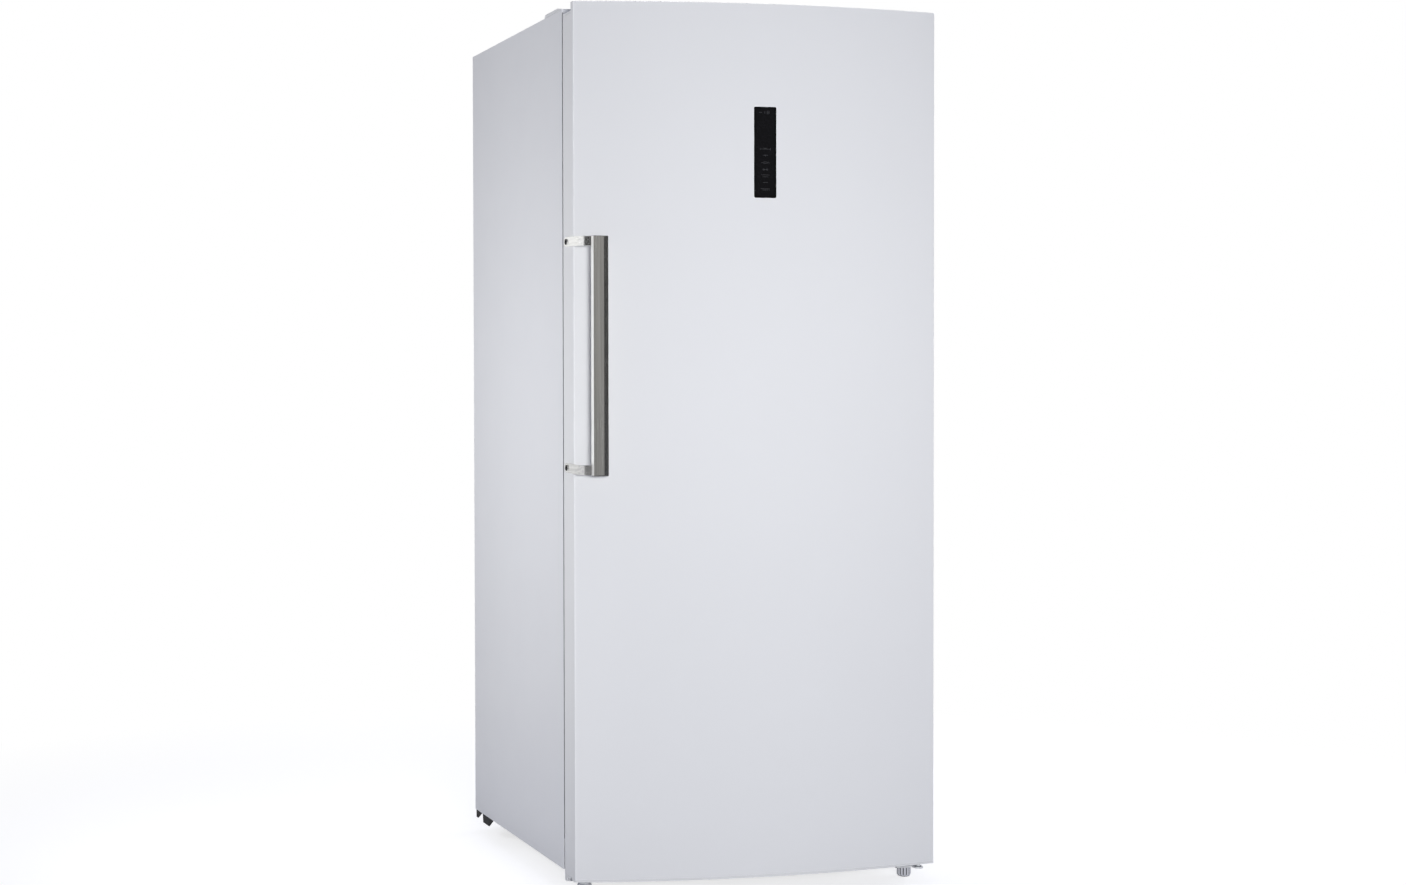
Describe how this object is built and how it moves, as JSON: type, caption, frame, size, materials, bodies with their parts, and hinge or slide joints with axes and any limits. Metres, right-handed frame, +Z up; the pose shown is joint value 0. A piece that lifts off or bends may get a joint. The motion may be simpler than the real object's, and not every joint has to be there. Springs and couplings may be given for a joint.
{
  "type": "upright freezer",
  "caption": "Tall white upright freezer with one bowed door, side-fixed bar handle, touch display, shelves, drawers, door bins, compressor bay and levelling feet.",
  "frame": {"origin": "centre of the bounding box's bottom face, on the floor", "axes": "+X to the right seen from the front, +Y to the back (the door faces -Y), +Z up"},
  "size_m": [0.7162, 0.7638, 1.6403],
  "materials": {
    "white_steel": "smooth semi-gloss white paint",
    "side_steel": "smooth satin white paint",
    "white_plastic": "satin moulded",
    "liner_white": "vacuum-formed, satin gloss",
    "foam": "raw polyurethane foam",
    "zinc": "zinc-plated",
    "bracket_white": "light grey powder coat",
    "black_steel": "black enamel",
    "black_plastic": "fine matt texture",
    "black_glass": "high gloss",
    "brushed_steel": "vertical brushed stainless look",
    "clear_plastic": "clear moulded polystyrene",
    "shelf_glass": "tempered glass, green edge",
    "gasket_grey": "soft PVC",
    "dark_rubber": "moulded",
    "aluminium": "plain",
    "copper": "drawn copper tube",
    "foot_grey": "moulded",
    "lamp_white": "frosted diffuser"
  },
  "bodies": {
    "cabinet": {"cabinet_wrapper": "side_steel", "back_panel": "zinc", "step_panel": "zinc", "cabinet_insulation": "foam", "inner_liner": "liner_white", "bottom_rail": "white_steel", "top_front_cover": "white_plastic", "upper_hinge_bracket": "zinc", "lower_hinge_bracket": "bracket_white", "left_foot_bracket": "bracket_white", "base_tray": "black_steel", "roller_axle_right": "zinc", "roller_axle_left": "zinc", "compressor": "black_steel", "compressor_grommet_1": "dark_rubber", "compressor_grommet_2": "dark_rubber", "compressor_grommet_3": "dark_rubber", "compressor_grommet_4": "dark_rubber", "relay_box": "black_plastic", "refrigerant_line": "copper", "drain_tray": "black_plastic", "machine_cover": "black_steel", "cord_gland": "black_plastic", "evaporator_cover": "liner_white", "evaporator_coil": "aluminium", "defrost_heater": "zinc", "fan_motor": "black_plastic", "glass_shelf_1": "shelf_glass", "glass_shelf_2": "shelf_glass", "glass_shelf_3": "shelf_glass", "shelf_trim_1": "white_plastic", "shelf_trim_2": "white_plastic", "shelf_trim_3": "white_plastic", "lamp_cover": "lamp_white"},
    "door": {"door_outer_panel": "white_steel", "door_top_cap": "white_plastic", "door_bottom_cap": "white_plastic", "door_insulation": "foam", "door_inner_liner": "liner_white", "door_gasket": "gasket_grey", "door_bin_1": "clear_plastic", "door_bin_2": "clear_plastic", "door_bin_3": "clear_plastic", "door_bin_4": "clear_plastic", "display_glass": "black_glass", "display_housing": "black_plastic", "handle_bar": "brushed_steel", "handle_bracket_bottom": "brushed_steel", "handle_bracket_top": "brushed_steel", "handle_screw_bottom": "black_steel", "handle_screw_top": "black_steel"},
    "drawer_1": {"drawer_1": "clear_plastic"},
    "drawer_2": {"drawer_2": "clear_plastic"},
    "drawer_3": {"drawer_3": "clear_plastic"},
    "fan": {"fan_blade": "black_plastic"},
    "roller_right": {"rear_roller_right": "black_plastic"},
    "roller_left": {"rear_roller_left": "black_plastic"},
    "foot_right": {"front_foot_right": "foot_grey"},
    "foot_left": {"front_foot_left": "foot_grey"}
  },
  "joints": [
    {"name": "door_hinge", "type": "hinge", "parent": "cabinet", "child": "door", "pos_m": [0.3401, -0.29585, 0], "axis": [0, 0, 1], "range_deg": [0, 120]},
    {"name": "drawer_1_slide", "type": "slide", "parent": "cabinet", "child": "drawer_1", "axis": [0, -1, 0], "range_m": [0, 0.218]},
    {"name": "drawer_2_slide", "type": "slide", "parent": "cabinet", "child": "drawer_2", "axis": [0, -1, 0], "range_m": [0, 0.218]},
    {"name": "drawer_3_slide", "type": "slide", "parent": "cabinet", "child": "drawer_3", "axis": [0, -1, 0], "range_m": [0, 0.218]},
    {"name": "fan_spin", "type": "hinge", "parent": "cabinet", "child": "fan", "pos_m": [0.0026, 0.26885, 0.8], "axis": [0, 1, 0], "continuous": true},
    {"name": "roller_right_spin", "type": "hinge", "parent": "cabinet", "child": "roller_right", "pos_m": [0.2831, 0.35785, 0.02], "axis": [1, 0, 0], "continuous": true},
    {"name": "foot_right_turn", "type": "hinge", "parent": "cabinet", "child": "foot_right", "pos_m": [0.3226, -0.26985, 0], "axis": [0, 0, 1], "continuous": true},
    {"name": "roller_left_spin", "type": "hinge", "parent": "cabinet", "child": "roller_left", "pos_m": [-0.2779, 0.35785, 0.02], "axis": [1, 0, 0], "continuous": true},
    {"name": "foot_left_turn", "type": "hinge", "parent": "cabinet", "child": "foot_left", "pos_m": [-0.3174, -0.26985, 0], "axis": [0, 0, 1], "continuous": true}
  ],
  "couplings": [
    {"joint": "drawer_1_slide", "follows": "door_hinge", "m_per_rad": 0.104},
    {"joint": "drawer_2_slide", "follows": "door_hinge", "m_per_rad": 0.104},
    {"joint": "drawer_3_slide", "follows": "door_hinge", "m_per_rad": 0.104}
  ]
}
